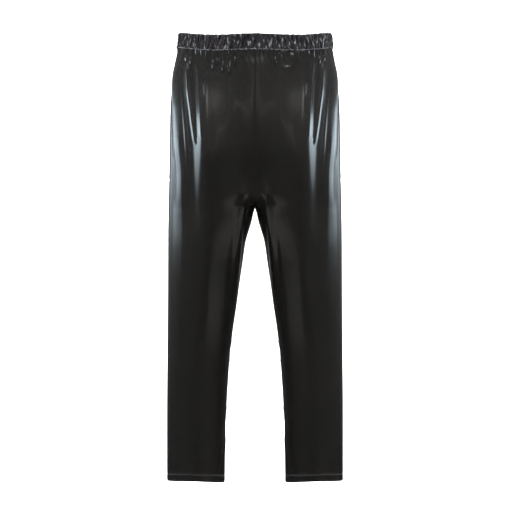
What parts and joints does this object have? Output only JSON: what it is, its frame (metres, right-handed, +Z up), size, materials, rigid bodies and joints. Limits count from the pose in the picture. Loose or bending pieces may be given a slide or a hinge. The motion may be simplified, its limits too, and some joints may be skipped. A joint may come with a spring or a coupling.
{
  "type": "leather trousers",
  "caption": "Full-length straight trousers in glossy black leather with a gathered elastic waist and no fly, filled out as worn, with open waist and hems.",
  "frame": {"origin": "centre of the open waist, halfway up the waistband at the side seams", "axes": "+Z up out of the waist; +X towards the wearer's left; the front faces -Y; the legs hang down -Z"},
  "size_m": [0.393, 0.2649, 1.002],
  "materials": {
    "leg_leather": "glossy coated black leather with soft folds",
    "band_leather": "the same leather gathered over elastic, slightly duller"
  },
  "bodies": {
    "root": {"waistband": "band_leather", "front_left": "leg_leather", "front_right": "leg_leather", "back_left": "leg_leather", "back_right": "leg_leather"}
  },
  "joints": []
}
